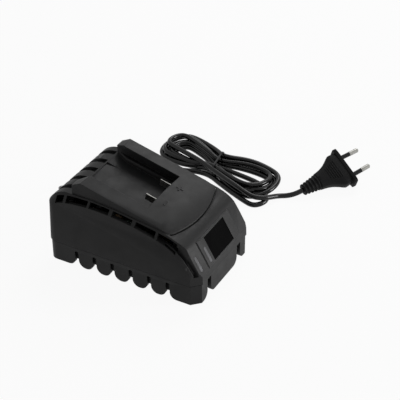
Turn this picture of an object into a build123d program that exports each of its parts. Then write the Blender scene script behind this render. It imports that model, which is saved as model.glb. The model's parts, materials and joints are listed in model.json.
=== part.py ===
from build123d import *
import os
from math import atan2, cos, degrees, radians, sin, tan

os.makedirs("parts", exist_ok=True)

# A slide-in battery charger. Millimetres, X across, -Y the front with the badge, Z up.
# The origin is on the ground under the middle of the housing.

# Housing
width = 86.0
length = 135.0
split_z = 18.0
wall = 2.4
corner_chamfer = 7.0
rear_radius = 7.5
side_draft = 2.0
front_y, rear_y = -length / 2, length / 2
side_x = width / 2

# Upper shell: hood, deck and slanted vent band
hood_angle = 59.6
hood_foot_z = 24.6
hood_top_z = 44.5
deck_z = 63.6
deck_end_y = rear_y - 21.5
rear_edge_z = 50.0
shoulder_x = side_x - 5.5
crown = [(front_y + 20.0, 50.6, 27), (front_y + 29.5, 54.2, 15), (-14.0, 58.7, 9), (7.5, 61.8, 7),
         (26.0, 63.4, 2)]
ridge = [(front_y + 5.0, 22.5), (front_y + 13.5, 33.5), (front_y + 24.5, 43.0), (-28.0, 49.5), (-4.0, 55.2),
         (20.0, 57.4), (40.0, 56.6), (rear_y - 11.5, 53.0), (rear_y + 1.0, 46.0)]
shoulder = [(front_y - 0.1, 24.6), (front_y + 6.1, 35.0), (front_y + 16.0, 48.3), (-32.0, 55.4), (-4.0, 60.2),
            (20.0, 63.1), (40.0, 63.6), (rear_y - 13.5, 61.9), (rear_y, 50.0)]

# Battery platform and pocket
platform_x = side_x - 6.5
platform_rear_y = rear_y - 22.5
platform_front_y = front_y + 21.0
platform_side_y = front_y + 28.0
platform_nose_z = 52.0
platform_drop_y = -28.0
platform_corner = 6.0
platform_peak_y = platform_rear_y - 10.0
platform_peak_z = 76.6
slide_slope = 14.5
platform_shoulder_z = 71.0
groove_width, groove_depth = 0.9, 1.2
crown_depth, crown_tilt = 250.0, 12.0
pocket_x = 24.0
pocket_end_y = -14.5
floor_entry_z = 64.2
rail_depth = 3.5
rail_height = 5.0
rail_lift = 4.0
flare_width, flare_length = 4.5, 11.0
pocket_floor_z = floor_entry_z - (platform_rear_y - pocket_end_y) * tan(radians(slide_slope))
latch_x = 13.2
latch_depth = 1.4
latch_length = 11.0

# Lower shell: tray standing on rounded pads
shell_step = 0.8
tray_wall = 2.8
foot_height = 4.5
pad_depth = 3.2
notch_width = 3.4
notch_top_z = 14.0
notch_pitch = 16.3
front_notch_x = side_x - 19.0
front_notch_width = 5.5
front_slot_depth = 1.4
front_slot_low_z = 10.0
pad_round = 6.0
ledge_z = 15.5
lip_height = 2.0
lip_clearance = 0.2

# Vents and louvres
vent_spans = [(51.0, 58.0), (29.5, 48.5), (10.5, 27.5), (-9.5, 7.5), (-29.5, -12.5), (-47.5, -31.5)]
vent_low, vent_high = 0.2, 0.85
corner_vent = (side_x - 5.2, side_x - 2.2, 25.5, 47.5)
corner_vent_back_y = front_y + 35.0
louvre_pitch = 14.0
louvre_count = 5
louvre_width = 5.5
louvre_depth = 3.0
louvre_start_y = platform_rear_y + 1.5

# Hood: badge panel and lamp windows, set out on the sloping front
badge_z = 35.45
panel_width, panel_height, panel_lift = width - 36.0, 23.2, 0.9
badge_width, badge_height, badge_t, badge_lift = width - 55.6, 19.6, 1.0, 0.5
badge_round = 0.6
lamp_length, lamp_width, lamp_drop = 12.9, 2.8, 2.4
lamp_x = (23.4 - side_x, 9.9 - side_x)
lamp_flange, lamp_flange_t = 1.0, 1.2
lamp_board_depth = 7.0
lamp_board_t = 1.6
lamp_board_side, lamp_board_end = 2.6, 2.0
lamp_gap = 0.3
lamp_post_r, lamp_peg_r, lamp_peg_rise = 2.0, 0.9, 0.6
lamp_post_y = (-7.5, 3.5)
mark_size, mark_stroke, mark_lift = 5.5, 1.3, 0.4
mark_y = pocket_end_y - 7.5

# Fastening and fits
fit = 0.05
side_fit = 0.1
boss_x = side_x - 9.2
boss_y = (front_y + 22.0, rear_y - 18.0)
boss_r = 4.6
upper_boss_r = 4.0
housing_screw_r = 1.7
housing_head_r, housing_head_t = 2.9, 2.4
housing_screw_end_z = 32.0
head_seat_z = 9.5
small_screw_r = 1.25
small_head_r, small_head_t = 2.3, 1.6

# Contacts
contact_x = 11.0
blade_t, blade_depth = 0.8, 3.0
blade_z = pocket_floor_z + 5.2
block_half, block_low, block_high = 15.0, blade_z - 2.5, blade_z + 4.0
block_depth = 7.0
block_front_y = pocket_end_y - wall - block_depth
blade_step, blade_heel, blade_tip = 0.2, 2.3, (9.1, 10.5)
blade_rise = (11.1, 8.8, 5.8, 3.7)
blade_tail, blade_tail_drop = (3.1, 0.6), 1.5
ear_x, ear_t = 24.0, 2.0
contact_boss_x, contact_boss_r = 20.0, 3.0
contact_screw_r = 1.45
contact_head_r = 2.6

# Cooling slots in the floor
floor_slots, floor_slot_pitch, floor_slot_width = 5, 8.0, 3.0
floor_slot_y, floor_slot_length = 20.0, 26.0

# Circuit board
board_x, board_y0, board_y1 = side_x - 14.6, front_y + 11.5, rear_y - 13.5
board_t = 1.6
board_z = 14.0
board_top = board_z + board_t
floor_top = foot_height + wall
post_r = 3.0
post_x = board_x - 3.9
post_y = (board_y0 + 6.0, board_y1 - 3.4)

# Parts on the board: width, depth, height and place
core_size, core_at = (34.0, 12.0, 26.0), (0.0, -15.0)
core_leg, core_yoke, core_window = 10.0, 5.0, 7.5
winding_depth, winding_round = 28.0, 3.0
bulk_r, bulk_height, bulk_at = 9.0, 32.0, (14.0, 10.0)
output_r, output_height = 5.0, 20.0
output_at = [(-20.0, board_y0 + 20.5), (-14.0, board_y0 + 10.0)]
groove_height, groove_part = 3.5, 0.08
box_capacitor, box_capacitor_at = (18.0, 7.5, 14.0), (-8.0, 25.0)
box_chamfer = 0.5
choke_r, choke_hole_r, choke_t, choke_at = 9.0, 5.0, 8.0, (-13.5, board_y1 - 11.3)
coil_gap = 11.25
coil_t = 1.4
fuse_r, fuse_length, fuse_at, fuse_lift = 2.5, 20.0, (12.0, board_y1 - 21.0), 5.0
fuse_cap_round = 0.4
clip_width, clip_depth, clip_height, clip_grip = 4.0, 6.4, 6.4, 0.6
bridge_size, bridge_at, bridge_lift = (15.0, 4.4, 11.0), (5.5, board_y1 - 8.0), 2.5
bridge_chamfer, bridge_leg = 2.0, (1.0, 0.7)
terminal_size, terminal_at = (10.0, 8.0, 10.0), (20.0, board_y1 - 12.0)
terminal_well_r, terminal_well_depth = 1.6, 2.0
package_size, package_lift, tab_t, tab_rise = (4.4, 10.0, 15.0), 4.4, 1.3, 5.6
package_leg = (0.6, 0.9)
sink_t, sink_top_z, fin_t, fin_depth, fin_pitch = 2.5, 42.0, 1.5, 4.0, 6.8
sink_x, sink_y, sink_length = 4.4 - board_x, board_y1 - 54.0, 36.0
diode_sink_x, diode_sink_y, diode_sink_length, diode_sink_top = board_x - 4.9, board_y0 + 10.0, 16.0, 39.0
chip_size, chip_at = (9.6, 6.4, 3.4), (4.0, board_y0 + 10.0)
opto_size, opto_at = (4.6, 6.4, 3.4), (-3.0, board_y0 + 17.5)
chip_leg = (0.5, 0.7)
chip_lift, chip_pitch = 0.5, 2.54
output_wire_r, output_wire_y, output_wire_bend = 1.3, block_front_y - 8.1, 2.0
lamp_wire_r, lamp_wire_x, lamp_wire_pitch = 0.6, lamp_x[0] - 0.9, 2.0
lamp_wire_drop, lamp_wire_run, lamp_wire_bend = 5.0, 4.0, 1.5
mains_wire_r, mains_wire_half, mains_wire_lift = 0.9, 1.1, 1.5

# Mains cord, grommet and clamp
cord_r = 2.2
cord_x, cord_z = 20.0, split_z
cord_end_y = board_y1 - 1.4
neck_r = 4.6
grommet_r = 6.4
flange_t = 2.0
boot_length = 18.0
boot_tip_r = 3.3
boot_rings, boot_ring_width, boot_ring_rise = 5, 1.4, 0.1
boot_end_y = rear_y + flange_t + boot_length
clamp_half, clamp_depth, clamp_y = 9.0, 5.0, rear_y - 9.5
clamp_bar_t = 4.4
clamp_screw_offset, clamp_screw_bite = 6.2, 6.0

# Free cord: points chosen along the route, from the boot to the hank and from the hank to the plug
lead_points = [(cord_x, boot_end_y, cord_z), (20.0, 91.0, 18.0), (21.8, 96.8, 16.6), (25.4, 101.3, 13.8),
               (30.4, 103.8, 10.2), (36.8, 104.2, 6.8), (44.6, 102.6, 4.2), (54.2, 99.4, 2.6),
               (65.5, 93.8, 2.2), (78.0, 86.0, 2.2), (90.0, 75.6, 2.2), (100.4, 63.0, 2.2),
               (108.0, 50.0, 2.2), (112.0, 39.0, 2.2)]
tail_points = [(117.9, -56.6, 2.2), (121.9, -63.5, 2.2), (126.128, -69.739, 3.939), (131.675, -73.073, 5.232)]

# Hank: outline seen from above
hank_outline = [(146.0, 67.0), (131.0, 66.0), (121.0, 57.5), (117.0, 44.0), (115.8, 30.0), (115.0, 16.0),
                (113.6, 6.0), (109.8, -8.0), (103.6, -24.4), (98.8, -38.5), (99.0, -47.6), (105.8, -48.8),
                (114.0, -49.6), (124.0, -48.6), (135.0, -44.5), (145.0, -37.0), (150.2, -25.0), (149.5, -8.0),
                (146.5, 4.0), (146.2, 14.0), (150.0, 28.0), (157.0, 43.0), (161.0, 55.0), (156.5, 63.5)]
hank_height = 12.4
hank_round = 2.0
tie_y, tie_width, tie_t = 10.0, 3.2, 1.0
tie_x, tie_corner, tie_lift = (115.2, 144.6), 5.5, 0.1
stub_length = 10.0

# Plug: two round pins on a flat flange
plug_at = (169.5, -95.8, 14.05)
plug_yaw, plug_pitch, plug_roll = -31.0, 11.3, 27.5
plug_width, plug_depth, plug_flange_t = 35.3, 13.7, 3.6
plug_length = 45.0
plug_tip_r = 4.8
pin_r, pin_length, pin_pitch, pin_tip_pitch = 2.0, 19.0, 18.6, 17.5
pin_bury = 7.0
plug_sections = [(-plug_flange_t, 30.0, 12.4), (-9.5, 31.0, 12.6), (-16.5, 23.0, 12.0), (-23.5, 16.8, 11.8),
                 (-30.0, 14.0, 11.6), (-36.0, 12.4, 11.0)]
flange_round, section_round, neck_step = 0.18, 0.4, 0.6
sleeve_length, sleeve_t = 10.0, 0.4
sleeve_step = 0.1

# Shared tools


def plan(d):
    """Outline of the housing seen from above, drawn in by d."""
    with BuildSketch() as outline:
        Rectangle(width - 2 * d, length - 2 * d)
        chamfer(outline.vertices().group_by(Axis.Y)[0], max(corner_chamfer - 0.586 * d, 0.5))
        fillet(outline.vertices().group_by(Axis.Y)[-1], max(rear_radius - d, 0.5))
    return outline.sketch


def inward(y, z, slope, d):
    """A point of the side outline moved in by d, square to a tangent of that slope."""
    return (y + d * sin(radians(slope)), z - d * cos(radians(slope)))


def side(d):
    """Side outline of the upper shell, drawn in by d."""
    run = 1 / tan(radians(hood_angle))
    top = inward(front_y + (hood_top_z - hood_foot_z) * run, hood_top_z, hood_angle, d)
    foot = (front_y + d, top[1] - (top[0] - front_y - d) / run)
    deck = (deck_end_y, deck_z - d)
    edge = (rear_y - d, rear_edge_z - 0.4 * d)
    with BuildSketch() as outline:
        with BuildLine():
            Polyline((foot[0], split_z), foot, top)
            Spline([top] + [inward(*point, d) for point in crown] + [deck],
                   tangents=[(cos(radians(hood_angle)), sin(radians(hood_angle))), (1, 0)])
            ThreePointArc(deck, inward(rear_y - 7.2, deck_z - 4.0, -45, d), edge)
            Polyline(edge, (rear_y - d, split_z), (foot[0], split_z))
        make_face()
    return outline.sketch


def band_cutter(d):
    """The space above the slanted vent band, as one ruled solid on the +X side, moved in by d."""
    with BuildPart() as cutter:
        for x in (shoulder_x - 2, side_x + 3):
            t = (x - shoulder_x) / (side_x - shoulder_x)
            row = [(a[0] + (b[0] - a[0]) * t + 0.25 * d, a[1] + (b[1] - a[1]) * t - 0.7 * d)
                   for a, b in zip(shoulder, ridge)]
            with BuildSketch(Plane.YZ.offset(x - 0.7 * d)):
                with BuildLine():
                    Spline(row)
                    Polyline(row[-1], (length, row[-1][1]), (length, 2 * deck_z), (-length, 2 * deck_z),
                             (-length, row[0][1]), row[0])
                make_face()
        loft(ruled=True)
    return cutter.part


def hull(d):
    """The upper shell's body as a solid block, drawn in by d."""
    band = band_cutter(d)
    with BuildPart() as body:
        with BuildSketch(Plane.XY.offset(split_z)):
            add(plan(d))
        extrude(amount=deck_z, taper=side_draft)
        with BuildSketch(Plane.YZ):
            add(side(d))
        extrude(amount=width, both=True, mode=Mode.INTERSECT)
        add(band, mode=Mode.SUBTRACT)
        add(mirror(band, about=Plane.YZ, mode=Mode.PRIVATE), mode=Mode.SUBTRACT)
    return body.part


def slide_z(y):
    """Height of the battery platform's centre line."""
    return platform_peak_z + (y - platform_peak_y) * tan(radians(slide_slope))


def floor_height(y):
    """Height of the pocket's sloping floor."""
    return floor_entry_z + (y - platform_rear_y) * tan(radians(slide_slope))


def footprint(d):
    """Outline of the battery platform seen from above, drawn in by d."""
    with BuildSketch() as outline:
        with BuildLine():
            x, back, front = platform_x - d, platform_rear_y - d, platform_side_y + d
            Polyline((-x, front), (-x, back), (x, back), (x, front))
            ThreePointArc((x, front), (0, platform_front_y + d), (-x, front))
        make_face()
        fillet(outline.vertices().group_by(Axis.Y)[0], platform_corner)
    return outline.sketch


def platform(d):
    """The raised battery platform as a solid block, drawn in by d."""
    drop_y = platform_drop_y
    axis_z = -crown_depth
    tilt = radians(crown_tilt)
    crowned = Plane(origin=(0, 0, axis_z), x_dir=(0, 1, 0), z_dir=(cos(tilt), 0, sin(tilt)))
    nose = (platform_front_y, platform_nose_z - d)
    with BuildPart() as block:
        with BuildSketch(Plane.XY.offset(split_z)):
            add(footprint(d))
        extrude(amount=2 * deck_z)
        with BuildSketch(crowned):
            with BuildLine():
                Polyline((nose[0], nose[1] - axis_z), (-length, nose[1] - axis_z), (-length, 10), (length, 10),
                         (length, slide_z(length) - d - axis_z), (drop_y, slide_z(drop_y) - d - axis_z))
                TangentArc((drop_y, slide_z(drop_y) - d - axis_z), (nose[0], nose[1] - axis_z),
                           tangent=(-1, -tan(radians(slide_slope))))
            make_face()
        revolve(axis=Axis((0, 0, axis_z), (0, 1, 0)), revolution_arc=2 * crown_tilt, mode=Mode.INTERSECT)
        with BuildSketch(Plane.YZ):
            Polygon((platform_rear_y + 1, platform_shoulder_z - d),
                    (platform_peak_y - 1, platform_peak_z + 0.3 - d),
                    (platform_peak_y - 1, 2 * deck_z), (platform_rear_y + 1, 2 * deck_z), align=None)
        extrude(amount=width, both=True, mode=Mode.SUBTRACT)
    return block.part


def box(xs, ys, zs, mode=Mode.ADD):
    """A block between two x, two y and two z values."""
    with Locations((sum(xs) / 2, sum(ys) / 2, sum(zs) / 2)):
        Box(xs[1] - xs[0], ys[1] - ys[0], zs[1] - zs[0], mode=mode)


def standing(x, y, zs, r, mode=Mode.ADD):
    """An upright cylinder between two z values."""
    with Locations((x, y, sum(zs) / 2)):
        Cylinder(r, zs[1] - zs[0], mode=mode)


def lying(x, z, ys, r, mode=Mode.ADD):
    """A cylinder along Y between two y values."""
    with Locations(Location((x, sum(ys) / 2, z), (90, 0, 0))):
        Cylinder(r, ys[1] - ys[0], mode=mode)


def around(at, size):
    """The two limits of a width centred on a place."""
    return (at - size / 2, at + size / 2)


def save(piece, name):
    """Label a finished piece and write its STEP file."""
    piece.part.label = name
    export_step(piece.part, f"parts/{name}.step")


def tube(points, r, radii):
    """A round wire along straight runs joined by tangent arcs."""
    with BuildPart() as wire:
        with BuildLine() as path:
            if len(points) > 2:
                FilletPolyline(*points, radius=radii)
            else:
                Line(*points)
        with BuildSketch(Plane(origin=path.line @ 0, z_dir=path.line % 0)):
            Circle(r)
        sweep()
    return wire.part


def bend_radii(points):
    """The largest radii that a route's runs allow: inner runs are shared by two bends, end runs are not."""
    ways = [Vector(*after) - Vector(*before) for before, after in zip(points, points[1:])]
    room = [0.45 * way.length for way in ways]
    room[0], room[-1] = 2 * room[0], 2 * room[-1]
    return [min(room[n], room[n + 1]) / tan(radians(way.get_angle(ways[n + 1])) / 2)
            for n, way in enumerate(ways[:-1])]


def above_floor(half, lift=0.0, high=2 * deck_z):
    """The space over the pocket's sloping floor, between two heights and half a width each way."""
    y0, y1 = pocket_end_y, length
    with BuildPart() as space:
        with BuildSketch(Plane.YZ):
            Polygon((y0, floor_height(y0) + lift), (y1, floor_height(y1) + lift),
                    (y1, floor_height(y1) + lift + high), (y0, floor_height(y0) + lift + high), align=None)
        extrude(amount=half, both=True)
    return space.part


def vents():
    """The openings in the slanted band of the +X side."""
    strip = [[(a[0] + (b[0] - a[0]) * t, a[1] + (b[1] - a[1]) * t) for a, b in zip(ridge, shoulder)]
             for t in (vent_low, vent_high)]
    with BuildPart() as openings:
        for y0, y1 in vent_spans:
            with BuildSketch(Plane.YZ.offset(shoulder_x - 3.5)):
                with BuildLine():
                    Spline(strip[0])
                    Line(strip[0][-1], strip[1][-1])
                    Spline(strip[1][::-1])
                    Line(strip[1][0], strip[0][0])
                make_face()
                with Locations(((y0 + y1) / 2, 0)):
                    Rectangle(y1 - y0, 4 * deck_z, mode=Mode.INTERSECT)
            extrude(amount=side_x - shoulder_x + 5.5)
    return openings.part


# Hood planes: surface, badge and lamps
hood = Plane(origin=(0, front_y + (badge_z - hood_foot_z) / tan(radians(hood_angle)), badge_z), x_dir=(1, 0, 0),
             z_dir=(0, -sin(radians(hood_angle)), cos(radians(hood_angle))))
lamp_tops = (panel_lift, 0.0)
lamp_board_at = (sum(lamp_x) / 2, sum(lamp_post_y) / 2)
lamp_board_size = (lamp_x[0] - lamp_x[1] + 2 * lamp_board_side,
                   lamp_post_y[1] - lamp_post_y[0] + 2 * lamp_board_end)


# Blocks of the housing, made once
outer_hull, inner_hull = hull(0), hull(wall)
rib_hull, back_hull = hull(louvre_depth), hull(louvre_depth + wall)
outer_platform, inner_platform, mark_platform = platform(0), platform(wall), platform(-mark_lift)
pocket = above_floor(pocket_x)
rails = above_floor(pocket_x + rail_depth, rail_lift, rail_height)
band_vents = vents()
guard_x = pocket_x + rail_depth + wall

# Top housing: the hollow inside first, then the shell around it
with BuildPart() as badge_panel:
    with BuildSketch(hood.offset(-wall / 2)):
        Rectangle(panel_width, panel_height)
    extrude(amount=wall / 2 + panel_lift)
    chamfer(badge_panel.faces().sort_by(Axis(hood.origin, hood.z_dir))[-1].edges(), panel_lift * 0.8)

with BuildPart() as hollow:
    add(inner_hull)
    add(inner_platform)
    with BuildSketch(Plane.YZ):
        y0, y1 = pocket_end_y - wall, length
        Polygon((y0, floor_height(y0) - wall), (y1, floor_height(y1) - wall), (y1, length), (y0, length),
                align=None)
    extrude(amount=guard_x, both=True, mode=Mode.SUBTRACT)
    for x in (-boss_x, boss_x):
        for y in boss_y:
            standing(x, y, (split_z, deck_z), upper_boss_r, Mode.SUBTRACT)
    for x in (-contact_boss_x, contact_boss_x):
        lying(x, (block_low + block_high) / 2, (pocket_end_y - wall - block_depth + ear_t, pocket_end_y),
              contact_boss_r, Mode.SUBTRACT)
    for y in lamp_post_y:
        with BuildSketch(hood.offset(-lamp_board_depth)):
            with Locations((lamp_board_at[0], y)):
                Circle(lamp_post_r)
        extrude(amount=lamp_board_depth, mode=Mode.SUBTRACT)
        with BuildSketch(hood.offset(-lamp_board_depth - lamp_board_t - lamp_peg_rise)):
            with Locations((lamp_board_at[0], y)):
                Circle(lamp_peg_r)
        extrude(amount=lamp_board_depth, mode=Mode.SUBTRACT)

louvre_half = (louvre_count - 1) / 2 * louvre_pitch + louvre_width / 2 + wall
with BuildPart() as louvre_backing:
    box((-louvre_half, louvre_half), (platform_rear_y, length), (rear_edge_z - wall, 2 * deck_z))
    add(back_hull, mode=Mode.SUBTRACT)

with BuildPart() as corner_backing:
    for sign in (-1, 1):
        box(sorted((sign * (corner_vent[0] - wall / 2), sign * side_x)), (-length, corner_vent_back_y + wall),
            (corner_vent[2] - wall, corner_vent[3] + wall))
    add(back_hull, mode=Mode.SUBTRACT)

with BuildPart() as louvres:
    for n in range(louvre_count):
        x = (n - (louvre_count - 1) / 2) * louvre_pitch
        box(around(x, louvre_width), (louvre_start_y, length), (rear_edge_z, 2 * deck_z))
    add(rib_hull, mode=Mode.SUBTRACT)

with BuildPart() as entry_flare:
    with BuildSketch(Plane.XY.offset(rear_edge_z)):
        Polygon((pocket_x, platform_rear_y - flare_length), (pocket_x + flare_width, platform_rear_y),
                (pocket_x + flare_width, length), (-pocket_x - flare_width, length),
                (-pocket_x - flare_width, platform_rear_y), (-pocket_x, platform_rear_y - flare_length),
                align=None)
    extrude(amount=deck_z)
    add(above_floor(side_x), mode=Mode.INTERSECT)

with BuildPart() as latch_recess:
    with BuildSketch(Plane.YZ):
        y0, y1 = platform_rear_y - latch_length, platform_rear_y + 0.1
        Polygon((y0, floor_height(y0)), (y1, floor_height(y1) - latch_depth), (y1, 2 * deck_z), (y0, 2 * deck_z),
                align=None)
    extrude(amount=latch_x, both=True)

with BuildPart() as corner_vents:
    for sign in (-1, 1):
        box(sorted((sign * corner_vent[0], sign * corner_vent[1])), (-length, corner_vent_back_y), corner_vent[2:])
    add(rib_hull, mode=Mode.SUBTRACT)

with BuildPart() as front_groove:
    with BuildSketch(Plane.XY.offset(split_z)):
        add(footprint(-groove_width))
        add(footprint(0), mode=Mode.SUBTRACT)
        with Locations((0, platform_front_y)):
            Rectangle(2 * platform_x, 2 * (platform_side_y - platform_front_y), mode=Mode.INTERSECT)
    extrude(amount=deck_z)
    add(hull(groove_depth), mode=Mode.SUBTRACT)

with BuildPart() as marks:
    for sign in (-1, 1):
        box(around(sign * contact_x, mark_size), around(mark_y, mark_stroke), (split_z, 2 * deck_z))
    box(around(contact_x, mark_stroke), around(mark_y, mark_size), (split_z, 2 * deck_z))
    add(mark_platform, mode=Mode.INTERSECT)

with BuildPart() as top_housing:
    add(outer_hull)
    add(outer_platform)
    add(badge_panel.part)
    add(marks.part)
    add(hollow.part - louvre_backing.part - corner_backing.part, mode=Mode.SUBTRACT)
    for cut in (pocket, rails, louvres.part, corner_vents.part, band_vents,
                mirror(band_vents, about=Plane.YZ, mode=Mode.PRIVATE)):
        add(cut, mode=Mode.SUBTRACT)
    for cut in (entry_flare.part, latch_recess.part, front_groove.part):
        add(cut, mode=Mode.SUBTRACT)
    for sign in (-1, 1):
        box(around(sign * contact_x, blade_t + 2 * side_fit), (pocket_end_y - 2 * wall, pocket_end_y + 1),
            (blade_z - side_fit, blade_z + blade_depth + side_fit), Mode.SUBTRACT)
        lying(sign * contact_boss_x, (block_low + block_high) / 2,
              (pocket_end_y - wall - block_depth + ear_t, pocket_end_y - 1.0), contact_screw_r + fit, Mode.SUBTRACT)
        for y in boss_y:
            standing(sign * boss_x, y, (split_z, housing_screw_end_z + 1.0), housing_screw_r + fit, Mode.SUBTRACT)
    with BuildSketch(hood.offset(badge_lift - badge_t)):
        Rectangle(badge_width + 2 * side_fit, badge_height + 2 * side_fit)
    extrude(amount=badge_t + panel_lift, mode=Mode.SUBTRACT)
    for x in lamp_x:
        with BuildSketch(hood.offset(-wall - 1)):
            with Locations((x, -lamp_drop)):
                SlotOverall(lamp_length + 2 * side_fit, lamp_width + 2 * side_fit, rotation=90)
        extrude(amount=wall + 1 + 2 * panel_lift, mode=Mode.SUBTRACT)
    lying(cord_x, cord_z, (rear_y - 2 * wall, rear_y + 1), neck_r + fit, Mode.SUBTRACT)
save(top_housing, "top_housing")

# Bottom housing: tray, locating lip, pads, bosses, board posts and cord clamp seat
inner_step = shell_step + tray_wall
low_step = shell_step + pad_depth + wall


def notch(opening, top_z):
    """A notch between two pads, seen square on: a rounded slot that flares at the ground."""
    with BuildSketch() as outline:
        with Locations((0, top_z / 2)):
            Rectangle(opening, top_z)
        with Locations((0, pad_round / 2)):
            Rectangle(opening + 2 * pad_round, pad_round)
        fillet(outline.vertices().group_by(Axis.Y)[-1], opening * 0.4)
        with Locations((opening / 2 + pad_round, pad_round), (-opening / 2 - pad_round, pad_round)):
            Circle(pad_round, mode=Mode.SUBTRACT)
    return outline.sketch


with BuildPart() as bottom_housing:
    with BuildSketch():
        add(plan(shell_step))
    extrude(amount=split_z)
    with BuildSketch(Plane.XY.offset(split_z)):
        add(plan(wall + lip_clearance))
        add(plan(inner_step), mode=Mode.SUBTRACT)
    extrude(amount=lip_height)
    with BuildSketch(Plane.XY.offset(ledge_z)):
        add(plan(inner_step))
    extrude(amount=split_z - ledge_z, mode=Mode.SUBTRACT)
    with BuildSketch(Plane.XY.offset(floor_top)):
        add(plan(low_step))
    extrude(amount=ledge_z - floor_top, mode=Mode.SUBTRACT)
    with BuildSketch():
        add(plan(shell_step + pad_depth))
    extrude(amount=foot_height, mode=Mode.SUBTRACT)
    for sign in (-1, 1):
        for n in range(6):
            with BuildSketch(Plane(origin=(sign * (side_x - shell_step - pad_depth), (n - 2.5) * notch_pitch, 0),
                                   x_dir=(0, 1, 0), z_dir=(1, 0, 0))):
                add(notch(notch_width, notch_top_z))
            extrude(amount=sign * 2 * pad_depth, mode=Mode.SUBTRACT)
        with BuildSketch(Plane(origin=(sign * front_notch_x, front_y + shell_step + pad_depth, 0),
                               x_dir=(1, 0, 0), z_dir=(0, -1, 0))):
            add(notch(front_notch_width, notch_top_z))
        extrude(amount=2 * pad_depth, mode=Mode.SUBTRACT)
        box(around(sign * front_notch_x, front_notch_width), (front_y, front_y + shell_step + front_slot_depth),
            (front_slot_low_z, split_z), Mode.SUBTRACT)
        for y in boss_y:
            standing(sign * boss_x, y, (floor_top - wall, split_z), boss_r)
        for y in post_y:
            standing(sign * post_x, y, (floor_top - wall / 2, board_z), post_r)
    box(around(cord_x, 2 * clamp_half), around(clamp_y, clamp_depth), (floor_top - wall / 2, cord_z))
    for sign in (-1, 1):
        for y in boss_y:
            standing(sign * boss_x, y, (0, head_seat_z), housing_head_r + side_fit, Mode.SUBTRACT)
            standing(sign * boss_x, y, (0, split_z), housing_screw_r + side_fit, Mode.SUBTRACT)
        for y in post_y:
            standing(sign * post_x, y, (floor_top, board_z), small_screw_r + fit, Mode.SUBTRACT)
        standing(cord_x + sign * clamp_screw_offset, clamp_y, (floor_top, cord_z), small_screw_r + fit,
                 Mode.SUBTRACT)
        for n in range(floor_slots):
            x = (n - (floor_slots - 1) / 2) * floor_slot_pitch
            box(around(x, floor_slot_width), around(sign * floor_slot_y, floor_slot_length), (0, floor_top),
                Mode.SUBTRACT)
    lying(cord_x, cord_z, (clamp_y - clamp_depth, rear_y), cord_r + fit, Mode.SUBTRACT)
    lying(cord_x, cord_z, (rear_y - inner_step, rear_y), neck_r + fit, Mode.SUBTRACT)
    lying(cord_x, cord_z, (clamp_y + clamp_depth / 2, rear_y - inner_step), grommet_r + fit, Mode.SUBTRACT)
save(bottom_housing, "bottom_housing")

# Screws: a pan head and a plain shank, pointing the way their plane looks


def screw(at, direction, shank_r, shank_length, head_r, head_t):
    """A screw whose head seats at a place and whose shank runs in a direction."""
    with BuildPart() as one:
        with BuildSketch(Plane(origin=at, z_dir=direction)):
            Circle(shank_r)
        extrude(amount=shank_length)
        with BuildSketch(Plane(origin=at, z_dir=direction)):
            Circle(head_r)
        extrude(amount=-head_t)
        fillet(one.faces().sort_by(Axis(at, direction))[0].edges(), head_t * 0.4)
        with BuildSketch(Plane(origin=Vector(*at) - Vector(*direction) * head_t, z_dir=direction)):
            Rectangle(head_r * 1.1, head_r * 0.3)
            Rectangle(head_r * 0.3, head_r * 1.1)
        extrude(amount=head_t * 0.5, mode=Mode.SUBTRACT)
    return one.part


with BuildPart() as housing_screws:
    for x in (-boss_x, boss_x):
        for y in boss_y:
            add(screw((x, y, head_seat_z), (0, 0, 1), housing_screw_r, housing_screw_end_z - head_seat_z,
                      housing_head_r, housing_head_t))
save(housing_screws, "housing_screws")

# Badge plate and light pipes on the hood
with BuildPart() as badge_plate:
    with BuildSketch(hood.offset(badge_lift - badge_t)):
        RectangleRounded(badge_width, badge_height, badge_round)
    extrude(amount=badge_t)
save(badge_plate, "badge_plate")


def light_pipe(x, top):
    """A clear lamp window with a flange behind the hood's wall."""
    with BuildPart() as pipe:
        with BuildSketch(hood.offset(-wall - lamp_flange_t)):
            with Locations((x, -lamp_drop)):
                SlotOverall(lamp_length, lamp_width, rotation=90)
        extrude(amount=wall + lamp_flange_t + top)
        with BuildSketch(hood.offset(-wall - lamp_flange_t)):
            with Locations((x, -lamp_drop)):
                SlotOverall(lamp_length + 2 * lamp_flange, lamp_width + 2 * lamp_flange, rotation=90)
        extrude(amount=lamp_flange_t)
    return pipe.part


with BuildPart() as light_pipe_inner:
    add(light_pipe(lamp_x[0], lamp_tops[0]))
save(light_pipe_inner, "light_pipe_inner")

with BuildPart() as light_pipe_outer:
    add(light_pipe(lamp_x[1], lamp_tops[1]))
save(light_pipe_outer, "light_pipe_outer")

# Lamp board, its lamps and wires
with BuildPart() as indicator_board:
    with BuildSketch(hood.offset(-lamp_board_depth - lamp_board_t)):
        with Locations(lamp_board_at):
            Rectangle(*lamp_board_size)
        with Locations(*[(lamp_board_at[0], y) for y in lamp_post_y]):
            Circle(lamp_peg_r + fit, mode=Mode.SUBTRACT)
    extrude(amount=lamp_board_t)
save(indicator_board, "indicator_board")

with BuildPart() as indicator_leds:
    with BuildSketch(hood.offset(-lamp_board_depth)):
        with Locations(*[(x, -lamp_drop) for x in lamp_x]):
            Rectangle(lamp_width, lamp_length * 0.6)
    extrude(amount=lamp_board_depth - wall - lamp_flange_t - lamp_gap)
save(indicator_leds, "indicator_leds")

with BuildPart() as indicator_wires:
    back = hood.offset(-lamp_board_depth - lamp_board_t)
    for n in (-1, 0, 1):
        start = back.from_local_coords(Vector(lamp_wire_x + n * lamp_wire_pitch,
                                              lamp_board_at[1] - lamp_wire_drop, 0))
        bend = start - hood.z_dir * lamp_wire_run
        add(tube([start, bend, Vector(bend.X, bend.Y, board_top)], lamp_wire_r, lamp_wire_bend))
save(indicator_wires, "indicator_wires")

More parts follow.
